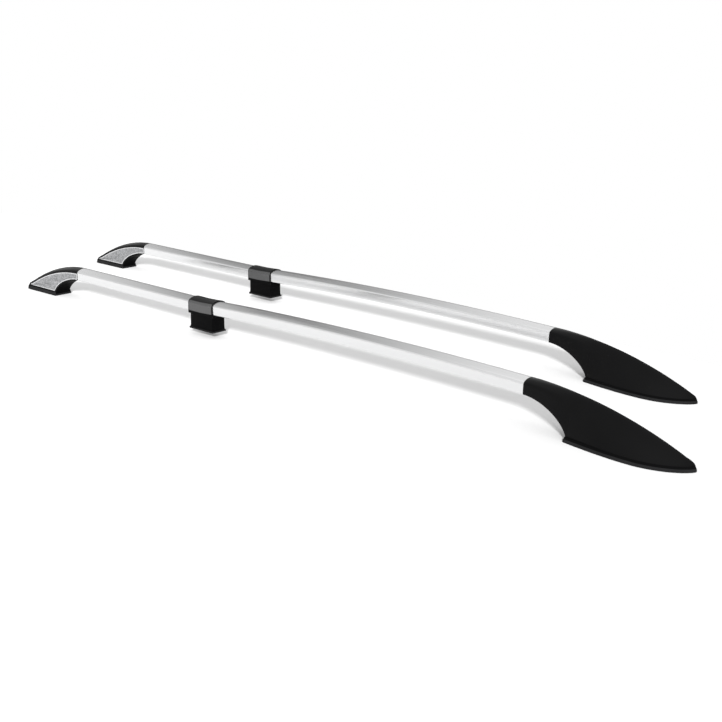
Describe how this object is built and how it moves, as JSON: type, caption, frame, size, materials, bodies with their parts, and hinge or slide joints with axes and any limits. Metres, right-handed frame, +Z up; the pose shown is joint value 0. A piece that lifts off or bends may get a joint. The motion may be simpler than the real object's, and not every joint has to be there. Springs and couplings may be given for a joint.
{
  "type": "roof side rail pair",
  "caption": "Pair of raised roof side rails: arched satin aluminium tubes on moulded end feet and a clamped middle leg.",
  "frame": {"origin": "middle of the pair's footprint, on the plane of the feet's soles", "axes": "+X along the rails towards their long front feet, +Y across the pair to the left rail, +Z up"},
  "size_m": [2.2819, 0.482, 0.1061],
  "materials": {
    "rail_aluminium": "satin brushed",
    "bar_aluminium": "mill",
    "cover_plastic": "fine grained black",
    "collar_plastic": "satin black",
    "leg_plastic": "matt black",
    "panel_grey": "fine grained silver grey",
    "gasket_rubber": "matt black",
    "cast_bracket": "as cast",
    "zinc_steel": "zinc plated"
  },
  "bodies": {
    "root": {"left_rear_tube": "rail_aluminium", "left_front_tube": "rail_aluminium", "left_splice_bar": "bar_aluminium", "left_collar": "collar_plastic", "left_leg": "leg_plastic", "left_leg_pad": "gasket_rubber", "left_leg_insert": "zinc_steel", "left_leg_screws": "zinc_steel", "left_rear_inner_panel": "panel_grey", "left_rear_outer_panel": "panel_grey", "left_front_cover": "cover_plastic", "left_front_gasket": "gasket_rubber", "left_front_bracket": "cast_bracket", "left_front_inserts": "zinc_steel", "left_front_tube_screws": "zinc_steel", "left_front_cover_screws": "zinc_steel", "left_rear_cover": "cover_plastic", "left_rear_gasket": "gasket_rubber", "left_rear_bracket": "cast_bracket", "left_rear_inserts": "zinc_steel", "left_rear_tube_screws": "zinc_steel", "left_rear_cover_screws": "zinc_steel", "right_rear_tube": "rail_aluminium", "right_front_tube": "rail_aluminium", "right_splice_bar": "bar_aluminium", "right_collar": "collar_plastic", "right_leg": "leg_plastic", "right_leg_pad": "gasket_rubber", "right_leg_insert": "zinc_steel", "right_leg_screws": "zinc_steel", "right_rear_inner_panel": "panel_grey", "right_rear_outer_panel": "panel_grey", "right_front_cover": "cover_plastic", "right_front_gasket": "gasket_rubber", "right_front_bracket": "cast_bracket", "right_front_inserts": "zinc_steel", "right_front_tube_screws": "zinc_steel", "right_front_cover_screws": "zinc_steel", "right_rear_cover": "cover_plastic", "right_rear_gasket": "gasket_rubber", "right_rear_bracket": "cast_bracket", "right_rear_inserts": "zinc_steel", "right_rear_tube_screws": "zinc_steel", "right_rear_cover_screws": "zinc_steel"}
  },
  "joints": []
}
